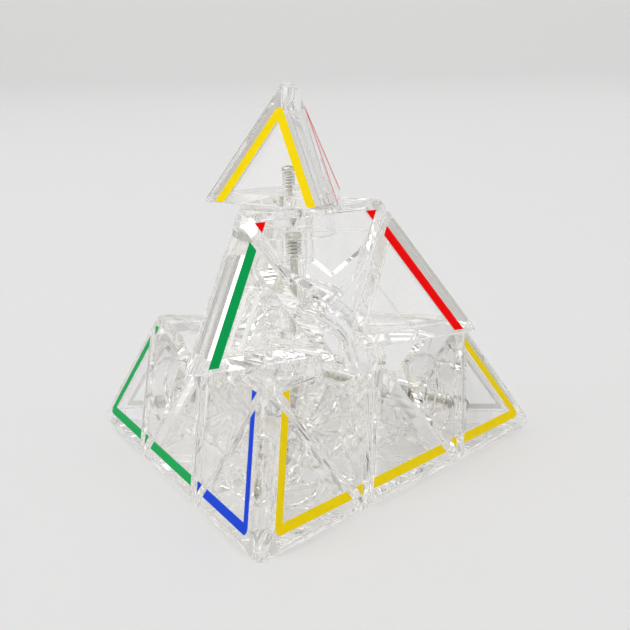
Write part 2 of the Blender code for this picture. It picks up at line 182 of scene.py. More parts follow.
def ink(name, colour):
    """Screen-printed ink: even, satin, with a very fine grain."""
    made, tree, shader = nodes_of(name)
    where = tree.nodes.new("ShaderNodeTexCoord")
    noise = tree.nodes.new("ShaderNodeTexNoise")
    noise.inputs["Scale"].default_value = 700
    noise.inputs["Detail"].default_value = 2
    ramp = tree.nodes.new("ShaderNodeValToRGB")
    ramp.color_ramp.elements[0].color = (*[c * 0.95 for c in colour], 1)
    ramp.color_ramp.elements[0].position = 0.3
    ramp.color_ramp.elements[1].color = (*colour, 1)
    ramp.color_ramp.elements[1].position = 0.65
    tree.links.new(where.outputs["Object"], noise.inputs["Vector"])
    tree.links.new(noise.outputs["Fac"], ramp.inputs["Fac"])
    tree.links.new(ramp.outputs["Color"], shader.inputs["Base Color"])
    shader.inputs["Roughness"].default_value = 0.5
    shader.inputs["Specular IOR Level"].default_value = 0.08
    bump_to(tree, shader, 900, 0.08, 0.00005)
    return made


def metal(name, colour, rough, grain=240):
    made, tree, shader = nodes_of(name)
    where = tree.nodes.new("ShaderNodeTexCoord")
    noise = tree.nodes.new("ShaderNodeTexNoise")
    noise.inputs["Scale"].default_value = grain
    noise.inputs["Detail"].default_value = 4
    ramp = tree.nodes.new("ShaderNodeValToRGB")
    ramp.color_ramp.elements[0].color = (*[c * 0.72 for c in colour], 1)
    ramp.color_ramp.elements[0].position = 0.32
    ramp.color_ramp.elements[1].color = (*colour, 1)
    ramp.color_ramp.elements[1].position = 0.62
    tree.links.new(where.outputs["Object"], noise.inputs["Vector"])
    tree.links.new(noise.outputs["Fac"], ramp.inputs["Fac"])
    tree.links.new(ramp.outputs["Color"], shader.inputs["Base Color"])
    shader.inputs["Metallic"].default_value = 1.0
    noise_to(tree, grain * 1.7, 3, rough - 0.07, rough + 0.08, shader.inputs["Roughness"])
    bump_to(tree, shader, grain * 2, 0.12, 0.0001)
    return made


CLEAR = clear_plastic("clear_plastic_smooth", (1.0, 1.0, 1.0), (0.996, 0.9945, 0.99))
CLEAR_INNER = clear_plastic("clear_inner_plastic", (0.99, 0.992, 0.99), (0.996, 0.9945, 0.99), 1.49, (0.01, 0.05))
SATIN = nodes_of("clear_satin_edge")[0]
satin_shader = SATIN.node_tree.nodes["Principled BSDF"]
satin_shader.inputs["Base Color"].default_value = (0.93, 0.95, 0.94, 1)
satin_shader.inputs["Transmission Weight"].default_value = 0.3
satin_shader.inputs["IOR"].default_value = 1.49
noise_to(SATIN.node_tree, 400, 3, 0.35, 0.5, satin_shader.inputs["Roughness"])
SCREW = metal("screw_plated_steel", (0.66, 0.65, 0.58), 0.26)
SPRING = metal("spring_wire", (0.8, 0.8, 0.78), 0.2, 320)
INK_BACK = nodes_of("ink_backing")[0]
INK_BACK.node_tree.nodes["Principled BSDF"].inputs["Base Color"].default_value = (0.74, 0.74, 0.73, 1)
INK_BACK.node_tree.nodes["Principled BSDF"].inputs["Roughness"].default_value = 0.5
INKS = {
    "yellow": ink("ink_yellow", (1.0, 0.75, 0.0)),
    "green": ink("ink_green", (0.0, 0.40, 0.095)),
    "blue": ink("ink_blue", (0.0, 0.055, 0.72)),
    "red": ink("ink_red", (1.0, 0.0, 0.0)),
}


# ================================================================ solids
scratch = bpy.data.collections.new("scratch")
bpy.context.scene.collection.children.link(scratch)


def as_object(name, mesh):
    made = bpy.data.objects.new(name, mesh)
    scratch.objects.link(made)
    return made


def from_bmesh(name, bm):
    bmesh.ops.recalc_face_normals(bm, faces=bm.faces)
    mesh = bpy.data.meshes.new(name)
    bm.to_mesh(mesh)
    bm.free()
    return as_object(name, mesh)


def sliced(name, planes):
    """A block sliced by planes: what is left where normal . point <= distance."""
    bm = bmesh.new()
    bmesh.ops.create_cube(bm, size=400 * MM)
    for normal, distance in planes:
        normal = Vector(normal).normalized()
        away = [v.co.dot(normal) > distance * MM + 1e-8 for v in bm.verts]
        if not any(away):
            continue
        bmesh.ops.bisect_plane(
            bm,
            geom=bm.verts[:] + bm.edges[:] + bm.faces[:],
            dist=1e-8,
            plane_co=normal * distance * MM,
            plane_no=normal,
            clear_outer=True,
        )
        rim = [e for e in bm.edges if e.is_boundary]
        if rim:
            bmesh.ops.holes_fill(bm, edges=rim, sides=0)
    bmesh.ops.remove_doubles(bm, verts=bm.verts[:], dist=2e-6)
    bmesh.ops.dissolve_degenerate(bm, dist=1e-6, edges=bm.edges[:])
    return from_bmesh(name, bm)


def unit(plane):
    n = Vector(plane[0])
    return n.normalized(), plane[1]


def round_edge(first, second, radius, steps):
    """Planes that touch a rounding of the edge between two planes."""
    (n1, d1), (n2, d2) = unit(first), unit(second)
    angle = math.acos(max(-1.0, min(1.0, n1.dot(n2))))
    planes = []
    for k in range(1, steps + 1):
        t = k / (steps + 1)
        a, b = math.sin((1 - t) * angle) / math.sin(angle), math.sin(t * angle) / math.sin(angle)
        planes.append((n1 * a + n2 * b, a * (d1 - radius) + b * (d2 - radius) + radius))
    return planes


def round_corner(first, second, third, radius, steps):
    """Planes that touch a ball in the corner of three planes."""
    faces = [unit(f) for f in (first, second, third)]
    rows = Matrix([f[0] for f in faces])
    at = rows.inverted() @ Vector([f[1] - radius for f in faces])
    planes = []
    for i in range(steps + 1):
        for j in range(steps + 1 - i):
            k = steps - i - j
            if max(i, j, k) == steps:
                continue
            normal = (faces[0][0] * i + faces[1][0] * j + faces[2][0] * k).normalized()
            planes.append((normal, normal.dot(at) + radius))
    return planes


def ball(name, radius, sides=72, rings=40):
    bm = bmesh.new()
    bmesh.ops.create_uvsphere(bm, u_segments=sides, v_segments=rings, radius=radius * MM)
    return from_bmesh(name, bm)


def cylinder(name, radius, start, end, sides=48):
    bm = bmesh.new()
    bmesh.ops.create_cone(
        bm,
        cap_ends=True,
        segments=sides,
        radius1=radius * MM,
        radius2=radius * MM,
        depth=(end - start) * MM,
        matrix=Matrix.Translation((0, 0, (start + end) / 2 * MM)),
    )
    return from_bmesh(name, bm)


def baked(obj):
    bpy.context.view_layer.update()
    graph = bpy.context.evaluated_depsgraph_get()
    mesh = bpy.data.meshes.new_from_object(obj.evaluated_get(graph))
    mesh.transform(obj.matrix_world)
    return mesh


def combine(target, other, operation):
    step = target.modifiers.new(operation.lower(), "BOOLEAN")
    step.operation = operation
    step.solver = "EXACT"
    step.object = other
    mesh = baked(target)
    target.modifiers.clear()
    target.data = mesh
    target.matrix_world = Matrix.Identity(4)
    bpy.data.objects.remove(other, do_unlink=True)
    return target


def cut(target, other):
    return combine(target, other, "DIFFERENCE")


def join(target, other):
    return combine(target, other, "UNION")


def turned(name, profile, sides=48):
    """A solid of revolution about Z from a closed or axis-to-axis (radius, height) profile."""
    bm = bmesh.new()
    closed = profile[0] == profile[-1]
    pts = profile[:-1] if closed else profile
    rings = []
    for r, z in pts:
        if r < 1e-6:
            rings.append([bm.verts.new((0, 0, z * MM))])
        else:
            rings.append(
                [
                    bm.verts.new((r * MM * math.cos(math.tau * i / sides), r * MM * math.sin(math.tau * i / sides), z * MM))
                    for i in range(sides)
                ]
            )
    pairs = list(zip(rings, rings[1:]))
    if closed:
        pairs.append((rings[-1], rings[0]))
    for a, b in pairs:
        for i in range(sides):
            j = (i + 1) % sides
            if len(a) == 1 and len(b) == 1:
                continue
            if len(a) == 1:
                bm.faces.new((a[0], b[j], b[i]))
            elif len(b) == 1:
                bm.faces.new((a[i], a[j], b[0]))
            else:
                bm.faces.new((a[i], a[j], b[j], b[i]))
    return from_bmesh(name, bm)


def rod(name, radius, start, end, edge, sides=64):
    """A round bar along +Z with rounded ends."""
    profile = [(0, start)]
    for k in range(5):
        a = math.pi / 2 * k / 4
        profile.append((radius - edge + edge * math.sin(a), start + edge - edge * math.cos(a)))
    for k in range(5):
        a = math.pi / 2 * k / 4
        profile.append((radius - edge + edge * math.cos(a), end - edge + edge * math.sin(a)))
    profile.append((0, end))
    return turned(name, profile, sides)


def outer_faces(axes, inset=0.0):
    return [(-n, INRADIUS - inset) for n in axes]


def turn_to(axis):
    """Turns +Z to a corner axis by one of the tetrahedron's own half turns."""
    if (axis - UP).length < 1e-6:
        return Matrix.Identity(4)
    return Matrix.Rotation(math.pi, 4, (UP + axis).normalized())


def stop_at_long_edges():
    """Planes that keep a hollow out of the long edges between the top corner and the others."""
    return [((UP + n).normalized(), SOLID_EDGE) for n in LOW]


def long_roundings(sides, radius, steps):
    planes = []
    for i in range(3):
        planes += round_edge(sides[i], sides[(i + 1) % 3], radius, steps)
    return planes


def rim_roundings(cap, walls, radius, steps=4):
    planes = []
    for wall in walls:
        planes += round_edge(cap, wall, radius, steps)
    return planes


# ================================================================ axial piece
def vertex_arc(face, vertex, inward, radius, half_angle, steps):
    """Planes square to a face that round off one of its pieces' corners."""
    n = Vector(face[0]).normalized()
    inward = (inward - n * inward.dot(n)).normalized()
    side = n.cross(inward)
    centre = vertex + inward * radius / math.sin(half_angle)
    planes = []
    sweep = math.pi / 2 - half_angle
    for k in range(steps):
        a = -sweep + 2 * sweep * (k + 0.5) / steps
        normal = -inward * math.cos(a) + side * math.sin(a)
        planes.append((normal, normal.dot(centre) + radius))
    return planes


def make_axial():
    sides = outer_faces(LOW)
    cuts = [(n, LAYER_CUT - GAP) for n in LOW]
    top = (UP, TIP_CUT - GAP)
    bottom = (-UP, -(LAYER_CUT + GAP))
    long_planes = long_roundings(sides, ROUND, 13)
    planes = sides + cuts + [top, bottom] + long_planes
    planes += rim_roundings(top, sides + long_planes, RIM)
    for i, s in enumerate(sides):
        planes += rim_roundings(s, [c for j, c in enumerate(cuts) if j != i], RIM)
    for c in cuts:
        planes += round_edge(c, bottom, RIM, 4)
        near = [p for p in long_planes if Vector(p[0]).dot(c[0]) > -0.2]
        planes += rim_roundings(c, near, RIM)
    for n in LOW:
        vertex = -n * INRADIUS
        planes += vertex_arc((-n, INRADIUS), vertex, UP + n / 3, AXIAL_VERTEX_ROUND, math.radians(30), 9)
    body = sliced("axial", planes)

    inner_sides = outer_faces(LOW, WALL)
    inner_cuts = [(n, LAYER_CUT - GAP - WALL) for n in LOW]
    inner_top = (UP, TIP_CUT - GAP - WALL)
    inner_bottom = (-UP, -(LAYER_CUT + GAP + WALL))
    planes = inner_sides + inner_cuts + [inner_top, inner_bottom]
    planes += rim_roundings(inner_top, inner_sides, 0.9)
    stops = stop_at_long_edges()
    planes += stops
    for stop in stops:
        planes += rim_roundings(stop, [s for s in inner_sides if Vector(s[0]).dot(stop[0]) > 0.3], 0.8)
    for i, s in enumerate(inner_sides):
        planes += rim_roundings(s, [c for j, c in enumerate(inner_cuts) if j != i], 0.9)
    hollow = sliced("axial_hollow", planes)
    cut(hollow, ball("dome", DOME_OUT))
    cut(hollow, cylinder("column_core", COLUMN_R - 0.4, COLUMN_START + 0.4, COLUMN_END - 0.4))
    cut(hollow, cylinder("stem_core", STEM_R - 0.4, 10, COLUMN_START + 2))
    skirt = turned(
        "skirt",
        [
            (CAP_R - 0.6, 32.0),
            (CAP_R - 0.6, 60),
            (SKIRT_R, 60),
            (SKIRT_R, SKIRT_START + 0.3),
            (SKIRT_R - 0.12, SKIRT_START + 0.08),
            (SKIRT_R - 0.35, SKIRT_START),
            (CAP_R + 0.7, SKIRT_START),
            (CAP_R + 0.47, SKIRT_START + 0.08),
            (CAP_R + 0.35, SKIRT_START + 0.3),
            (CAP_R + 0.35, 32.0),
            (CAP_R - 0.6, 32.0),
        ],
        96,
    )
    cut(hollow, skirt)
    for azimuth in (-90, 30, 150):
        sides_of_rib = [(Vector((0, 1, 0)), RIB), (Vector((0, -1, 0)), RIB)]
        rib_top = (UP, RIB_TOP)
        rib = sliced(
            "rib",
            [(Vector((-1, 0, 0)), -1.0), (Vector((1, 0, 0)), 40), (-UP, 0), rib_top]
            + sides_of_rib
            + rim_roundings(rib_top, sides_of_rib, 0.4),
        )
        rib.matrix_world = Matrix.Rotation(math.radians(azimuth), 4, "Z")
        cut(hollow, rib)
    cut(body, hollow)
    cut(body, ball("dome_inside", DOME_IN))
    join(body, rod("column", COLUMN_R, COLUMN_START, COLUMN_END, 0.35))
    join(body, rod("stem", STEM_R, STEM_START, COLUMN_START + 1, 0.2))
    bore = turned(
        "column_bores",
        [
            (0, COLUMN_END + 2),
            (SPRING_BORE_R, COLUMN_END + 2),
            (SPRING_BORE_R, SPRING_SEAT),
            (BORE_R, SPRING_SEAT),
            (BORE_R, STEM_START - 2),
            (0, STEM_START - 2),
        ],
        40,
    )
    cut(body, bore)
    cut(
        body,
        turned(
            "cap_hole",
            [(0, TIP_CUT + 2), (CAP_R + 0.35, TIP_CUT + 2), (CAP_R + 0.35, 32.0), (CAP_R - 0.9, 31.0), (0, 31.0)],
            96,
        ),
    )
    return body


def make_axial_cap():
    top = TIP_CUT - GAP
    under = top - CAP_T
    return turned(
        "axial_cap",
        [
            (BORE_R, top),
            (2.3, top),
            (2.5, top - 0.25),
            (3.4, top - 0.25),
            (3.6, top),
            (CAP_R - 0.35, top),
            (CAP_R - 0.1, top - 0.1),
            (CAP_R, top - 0.35),
            (CAP_R, under + 0.2),
            (CAP_R - 0.2, under),
            (CAP_BOSS_R + 0.5, under),
            (CAP_BOSS_R + 0.15, under - 0.12),
            (CAP_BOSS_R, under - 0.5),
            (CAP_BOSS_R, CAP_BOSS_START + 0.3),
            (CAP_BOSS_R - 0.1, CAP_BOSS_START + 0.08),
            (CAP_BOSS_R - 0.35, CAP_BOSS_START),
            (BORE_R, CAP_BOSS_START),
            (BORE_R, top),
        ],
        96,
    )


# ================================================================ tip
def make_tip():
    sides = outer_faces(LOW)
    bottom = (-UP, -(TIP_CUT + GAP))
    long_planes = long_roundings(sides, ROUND, 13)
    planes = sides + [bottom] + long_planes
    planes += round_corner(*sides, ROUND, 8)
    planes += rim_roundings(bottom, sides + long_planes, RIM)
    body = sliced("tip", planes)
    inner = outer_faces(LOW, WALL)
    roof = (UP, 54.2)
    planes = inner + [(-UP, -(TIP_CUT - 3)), roof]
    stops = stop_at_long_edges()
    planes += stops
    for stop in stops:
        planes += rim_roundings(stop, [s for s in inner if Vector(s[0]).dot(stop[0]) > 0.3], 0.8)
    planes += rim_roundings(roof, inner, 0.5)
    cut(body, sliced("tip_hollow", planes))
    cut(body, cylinder("apex_pin", 0.95, 53.0, 58.3, 32))
    return body


def make_tip_base():
    inner = outer_faces(LOW, WALL + 0.2)
    bottom = (-UP, -(TIP_CUT + GAP))
    top = (UP, TIP_CUT + GAP + TIP_BASE_T)
    planes = inner + [bottom, top] + rim_roundings(top, inner, 0.3, 2)
    planes += [(n, d - 0.2) for n, d in stop_at_long_edges()]
    body = sliced("tip_base", planes)
    join(body, rod("tip_boss", TIP_BOSS_R, TIP_CUT + 0.6, TIP_BOSS_TOP, 0.15))
    cut(body, cylinder("tip_bore", BORE_R, TIP_CUT - 2, TIP_BOSS_TOP + 2, 32))
    return body


# ================================================================ edge piece
def edge_planes(inset=0.0, gap=GAP):
    s2 = math.sqrt(2)
    cuts = [unit((Vector((-1, side * s2, 0)), -(LAYER_CUT + gap + inset))) for side in (-1, 1)]
    faces = [unit((Vector((1, 0, side * s2)), INRADIUS - inset)) for side in (-1, 1)]
    return cuts, faces


def make_edge_shell():
    cuts, faces = edge_planes()
    long_planes = round_edge(faces[0], faces[1], ROUND, 13)
    inner_planes = round_edge(cuts[0], cuts[1], EDGE_VERTEX_ROUND, 13)
    planes = cuts + faces + long_planes + inner_planes
    for c in cuts:
        planes += rim_roundings(c, faces + long_planes, RIM)
    for f in faces:
        planes += rim_roundings(f, inner_planes, RIM)
    body = sliced("edge_shell", planes)
    cuts, faces = edge_planes(inset=WALL)
    stop = (Vector((1, 0, 0)), SOLID_EDGE)
    planes = cuts + faces + [stop] + rim_roundings(stop, faces, 0.8)
    for c in cuts:
        planes += rim_roundings(c, faces, 0.8)
    planes += round_edge(cuts[0], cuts[1], 2.4, 5)
    cut(body, sliced("edge_hollow", planes))
    slot = [
        (Vector((1, 0, 0)), BLOCK_TOP + 0.3),
        (Vector((-1, 0, 0)), 0),
        (Vector((0, 1, 0)), 30),
        (Vector((0, -1, 0)), 30),
        (Vector((0, 0, 1)), BLOCK_HALF + 0.3),
        (Vector((0, 0, -1)), BLOCK_HALF + 0.3),
    ]
    cut(body, sliced("edge_slot", slot))
    cut(body, ball("edge_clearance", DOME_IN))
    return body


def make_edge_foot():
    s2 = math.sqrt(2)
    body = ball("foot", FOOT_OUT)
    cut(body, ball("foot_inside", FOOT_IN))
    wedge = [unit((Vector((-1, side * s2, 0)), -FOOT_GAP)) for side in (-1, 1)]
    wedge += [unit((Vector((-1, 0, side * s2)), -FOOT_GAP)) for side in (-1, 1)]
    wedge += [(Vector((0, 0, side)), 7.2) for side in (-1, 1)]
    combine(body, sliced("foot_wedge", wedge), "INTERSECT")
    cuts, _ = edge_planes(gap=GAP + 0.05)
    ends = [(Vector((0, 0, 1)), BLOCK_HALF), (Vector((0, 0, -1)), BLOCK_HALF)]
    block_top = (Vector((1, 0, 0)), BLOCK_TOP)
    shoulders = [(Vector((0, side, 0)), 8.2) for side in (-1, 1)]
    planes = cuts + ends + [block_top, (Vector((-1, 0, 0)), -14.2)] + shoulders
    planes += rim_roundings(block_top, ends, 0.4, 4)
    for c in cuts:
        planes += rim_roundings(c, ends, 0.4, 3)
    join(body, sliced("block", planes))
    # a pocket in the block, open at the outer end
    pocket_cuts, _ = edge_planes(gap=GAP + 1.5)
    planes = pocket_cuts + [
        (Vector((1, 0, 0)), BLOCK_TOP + 3),
        (Vector((-1, 0, 0)), -18.8),
        (Vector((0, 0, 1)), BLOCK_HALF - 1.1),
        (Vector((0, 0, -1)), BLOCK_HALF - 1.1),
        (Vector((0, 1, 0)), 8.2 - 1.3),
        (Vector((0, -1, 0)), 8.2 - 1.3),
    ]
    cut(body, sliced("pocket", planes))
    return body


# ================================================================ core, screws, springs
def make_core():
    body = ball("core", CORE_R, 48, 28)
    for axis in AXES.values():
        arm = cylinder("arm", ARM_R, 1.0, ARM_END, 40)
        arm.matrix_world = turn_to(axis)
        join(body, arm)
    for axis in AXES.values():
        bore = cylinder("arm_bore", BORE_R, 4.4, ARM_END + 2, 28)
        bore.matrix_world = turn_to(axis)
        cut(body, bore)
    return body


def make_screw(name, start, neck, head_r, head, thread_to):
    """A cross-recessed pan head on a shank with a helical thread up to thread_to."""
    sides, pitch, root, crest = 24, 0.6, SCREW_R - 0.17, SCREW_R
    bm = bmesh.new()
    levels = []
    z = start + 1.4
    while z < neck - 1e-6:
        levels.append(z)
        z += pitch / 8
    levels.append(neck)
    rings = [[bm.verts.new((0, 0, start * MM))]]
    for z in levels:
        ring = []
        for i in range(sides):
            a = math.tau * i / sides
            phase = (z / pitch - i / sides) % 1.0
            ridge = max(0.0, 1.0 - abs(phase - 0.5) * 4.0)
            fade = min(1.0, max(0.0, (thread_to - z) / 0.5)) * min(1.0, (z - start - 1.0) / 1.2)
            r = root + (crest - root) * (ridge * fade + (1 - fade) * 0.9)
            ring.append(bm.verts.new((r * math.cos(a) * MM, r * math.sin(a) * MM, z * MM)))
        rings.append(ring)
    profile = [
        (head_r - 0.08, neck),
        (head_r, neck + 0.1),
        (head_r, neck + head * 0.45),
        (head_r * 0.93, neck + head * 0.68),
        (head_r * 0.76, neck + head * 0.87),
        (head_r * 0.5, neck + head * 0.97),
        (0, neck + head),
    ]
    for r, z in profile:
        if r == 0:
            rings.append([bm.verts.new((0, 0, z * MM))])
        else:
            rings.append(
                [bm.verts.new((r * math.cos(math.tau * i / sides) * MM, r * math.sin(math.tau * i / sides) * MM, z * MM)) for i in range(sides)]
            )
    for a, b in zip(rings, rings[1:]):
        for i in range(sides):
            j = (i + 1) % sides
            if len(a) == 1:
                bm.faces.new((a[0], b[j], b[i]))
            elif len(b) == 1:
                bm.faces.new((a[i], a[j], b[0]))
            else:
                bm.faces.new((a[i], a[j], b[j], b[i]))
    body = from_bmesh(name, bm)
    for turn in (0, math.pi / 2):
        bar = sliced(
            "recess",
            [
                (Vector((1, 0, 0.35)), head_r * 0.55 + 0.33 * (neck + head)),
                (Vector((-1, 0, 0.35)), head_r * 0.55 + 0.33 * (neck + head)),
                (Vector((0, 1, 0)), 0.22),
                (Vector((0, -1, 0)), 0.22),
                (Vector((0, 0, 1)), neck + head + 1),
                (Vector((0, 0, -1)), -(neck + head * 0.4)),
            ],
        )
        bar.matrix_world = Matrix.Rotation(turn, 4, "Z")
        cut(body, bar)
    return body


def coil(name, radius, wire, start, end, turns, per_turn=28, around=12):
    """A compression spring with its end turns closed down flat."""
    low, high = start + wire, end - wire
    count = int(turns * per_turn) + 1
    points = []
    for i in range(count):
        turn = i / per_turn
        share = min(max((turn - 0.5) / (turns - 1.0), 0.0), 1.0)
        closed = wire * 1.1
        height = low + (high - low) * share
        height += closed * min(turn / 0.5, 1.0) * (1 - share) * 0.5
        height -= closed * min((turns - turn) / 0.5, 1.0) * share * 0.5
        angle = math.tau * turn
        points.append(Vector((radius * math.cos(angle), radius * math.sin(angle), height)))
    bm = bmesh.new()
    rings = []
    for i, p in enumerate(points):
        ahead = points[min(i + 1, count - 1)] - points[max(i - 1, 0)]
        ahead.normalize()
        out = Vector((p.x, p.y, 0)).normalized()
        up = ahead.cross(out).normalized()
        out = up.cross(ahead)
        rings.append(
            [bm.verts.new((p + (out * math.cos(math.tau * k / around) + up * math.sin(math.tau * k / around)) * wire) * MM) for k in range(around)]
        )
    for a, b in zip(rings, rings[1:]):
        for k in range(around):
            j = (k + 1) % around
            bm.faces.new((a[k], a[j], b[j], b[k]))
    bm.faces.new(rings[0])
    bm.faces.new(list(reversed(rings[-1])))
    return from_bmesh(name, bm)


def make_washer():
    return turned(
        "washer",
        [
            (BORE_R, WASHER_AT + 0.4),
            (BORE_R + 0.1, WASHER_AT + 0.5),
            (WASHER_R - 0.1, WASHER_AT + 0.5),
            (WASHER_R, WASHER_AT + 0.4),
            (WASHER_R, WASHER_AT + 0.1),
            (WASHER_R - 0.1, WASHER_AT),
            (BORE_R, WASHER_AT),
            (BORE_R, WASHER_AT + 0.4),
        ],
        40,
    )


# ================================================================ placing
TOP_LAYER = Matrix.Rotation(math.radians(TOP_LAYER_TURN), 4, "Z")
TOP_TIP = TOP_LAYER @ Matrix.Rotation(math.radians(TOP_TIP_TURN), 4, "Z")
AT = Matrix.Translation(AXIS_AT)
made_pieces = []


def finish_mesh(mesh, sharp):
    bm = bmesh.new()
    bm.from_mesh(mesh)
    bmesh.ops.remove_doubles(bm, verts=bm.verts[:], dist=1.5e-6)
    bmesh.ops.dissolve_degenerate(bm, dist=1e-6, edges=bm.edges[:])
    bmesh.ops.recalc_face_normals(bm, faces=bm.faces[:])
    bm.to_mesh(mesh)
    bm.free()
    mesh.shade_smooth()
    mesh.set_sharp_from_angle(angle=math.radians(sharp))


def master(obj, sharp=28):
    mesh = obj.data
    mesh.materials.clear()
    bpy.data.objects.remove(obj, do_unlink=True)
    finish_mesh(mesh, sharp)
    return mesh


def place(name, mesh, finish, turn, body, node, weighted=True):
    own = mesh.copy()
    own.transform(AT @ turn)
    own.materials.append(finish)
    if name.endswith("foot_clear"):
        own.materials.append(SATIN)
    made = bpy.data.objects.new(name, own)
    bpy.context.scene.collection.objects.link(made)
    if weighted:
        step = made.modifiers.new("even_normals", "WEIGHTED_NORMAL")
        step.keep_sharp = True
        step.weight = 100
    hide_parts(node)
    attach(made, body)
    made_pieces.append(made)
    return made


axial = master(make_axial())
axial_cap = master(make_axial_cap(), 35)
tip = master(make_tip())
tip_base = master(make_tip_base())
edge_shell = master(make_edge_shell())
edge_foot = master(make_edge_foot())
for part in edge_foot.polygons:
    part.material_index = 1 if part.normal.x > 0.8 and part.center.x > (BLOCK_TOP - 0.2) * MM else 0
core = master(make_core(), 35)
screw = master(make_screw("screw", SCREW_START, SCREW_NECK, SCREW_HEAD_R, SCREW_HEAD, 16.0), 40)
tip_screw = master(make_screw("tip_screw", TIP_SCREW_START, TIP_SCREW_NECK, TIP_SCREW_HEAD_R, TIP_SCREW_HEAD, 40.8), 40)
washer = master(make_washer(), 40)
spring = master(coil("spring", 1.45, 0.2, SPRING_SEAT + 0.3, WASHER_AT - 0.3, 4), 50)
tip_spring = master(coil("tip_spring", 1.2, 0.17, TIP_BOSS_TOP + 0.3, TIP_SCREW_NECK - 0.3, 5), 50)

place("core_clear", core, CLEAR_INNER, Matrix.Identity(4), "base_layer", "core")
for corner, axis in AXES.items():
    turn = turn_to(axis)
    layer = TOP_LAYER if corner == "top" else Matrix.Identity(4)
    layer_body = "top_layer" if corner == "top" else "base_layer"
    tip_turn = TOP_TIP if corner == "top" else turn
    place(f"{corner}_axial_clear", axial, CLEAR, layer @ turn, layer_body, f"{corner}_axial")
    place(f"{corner}_axial_cap_clear", axial_cap, CLEAR, layer @ turn, layer_body, f"{corner}_axial_cap")
    place(f"{corner}_tip_clear", tip, CLEAR, tip_turn, f"{corner}_tip", f"{corner}_tip")
    place(f"{corner}_tip_base_clear", tip_base, CLEAR, tip_turn, f"{corner}_tip", f"{corner}_tip_base")
    place(f"{corner}_screw_threaded", screw, SCREW, turn, "base_layer", f"{corner}_screw", False)
    place(f"{corner}_spring_wire", spring, SPRING, turn, "base_layer", f"{corner}_spring", False)
    place(f"{corner}_washer_round", washer, SCREW, turn, "base_layer", f"{corner}_washer", False)
    place(f"{corner}_tip_screw_threaded", tip_screw, SCREW, layer @ turn, layer_body, f"{corner}_tip_screw", False)
    place(f"{corner}_tip_spring_wire", tip_spring, SPRING, layer @ turn, layer_body, f"{corner}_tip_spring", False)

PAIRS = [("top", "front"), ("top", "right"), ("top", "left"), ("front", "right"), ("right", "left"), ("left", "front")]
for first, second in PAIRS:
    a, b = AXES[first], AXES[second]
    out, along = (a + b).normalized(), (a - b).normalized()
    turn = Matrix((out, along, out.cross(along))).transposed().to_4x4()
    layer = TOP_LAYER if first == "top" else Matrix.Identity(4)
    layer_body = "top_layer" if first == "top" else "base_layer"
    place(f"{first}_{second}_edge_clear", edge_shell, CLEAR, layer @ turn, layer_body, f"{first}_{second}_edge")
    place(f"{first}_{second}_edge_foot_clear", edge_foot, CLEAR, layer @ turn, layer_body, f"{first}_{second}_edge_foot")


# ================================================================ printed stripes
D1, D2 = 4.26, 6.15
TIP_END, AXIAL_END, EDGE_END = 0.62, 2.0, 1.25
INK_UP, INK_DOWN = 0.012, 0.03


def face_frame(lead, opposite):
    """Centre, right, up and outward of the face opposite one corner, with up towards another of its corners."""
    out = -AXES[opposite]
    centre = out * INRADIUS
    corner = AXES[lead] * CORNER
    up = (corner - centre).normalized()
    right = up.cross(out).normalized()
    return centre, right, up, out


def rounded(points, radii):
    """A polygon with some corners rounded."""
    done = []
    n = len(points)
    for i, (p, r) in enumerate(zip(points, radii)):
        p = Vector(p)
        if r <= 0:
            done.append(p)
            continue
        a, b = Vector(points[i - 1]) - p, Vector(points[(i + 1) % n]) - p
        a.normalize()
        b.normalize()
        half = a.angle(b) / 2
        centre = p + (a + b).normalized() * r / math.sin(half)
        reach = r / math.tan(half)
        start, end = p + a * reach - centre, p + b * reach - centre
        turn = math.atan2(start.x * end.y - start.y * end.x, start.dot(end))
        for k in range(7):
            t = turn * k / 6
            done.append(centre + Vector((start.x * math.cos(t) - start.y * math.sin(t), start.x * math.sin(t) + start.y * math.cos(t))))
    return done


def s_point(si, sj, sl):
    """A point on a face from its distances to the sides opposite the lead, left and right corners."""
    return ((sl - sj) / math.sqrt(3), si - FACE_H / 3)


def print_on(name, outline, face, colour, turn, body):
    """A thin printed patch from an outline on a face, sunk a little into it."""
    centre, right, up, out = face
    bm = bmesh.new()
    ring = [bm.verts.new((centre + right * x + up * y - out * INK_DOWN) * MM) for x, y in outline]
    bottom = bm.faces.new(ring)
    raised = bmesh.ops.extrude_face_region(bm, geom=[bottom])
    moved = [v for v in raised["geom"] if isinstance(v, bmesh.types.BMVert)]
    bmesh.ops.translate(bm, verts=moved, vec=out * (INK_UP + INK_DOWN) * MM)
    bmesh.ops.triangulate(bm, faces=[f for f in bm.faces if len(f.verts) > 4])
    bmesh.ops.recalc_face_normals(bm, faces=bm.faces[:])
    for part in bm.faces:
        part.material_index = 0 if part.normal.dot(out) > 0.5 else 1
    mesh = bpy.data.meshes.new(name)
    bm.to_mesh(mesh)
    bm.free()
    mesh.transform(AT @ turn)
    mesh.materials.append(INKS[colour])
    mesh.materials.append(INK_BACK)
    made = bpy.data.objects.new(name, mesh)
    bpy.context.scene.collection.objects.link(made)
    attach(made, body)
    return made


def sides_of(lead, opposite):
    """The other two corners of a face as (left, right) seen from outside with lead up."""
    centre, right, up, out = face_frame(lead, opposite)
    others = [c for c in AXES if c not in (lead, opposite)]
    return sorted(others, key=lambda c: (AXES[c] * CORNER - centre).dot(right))


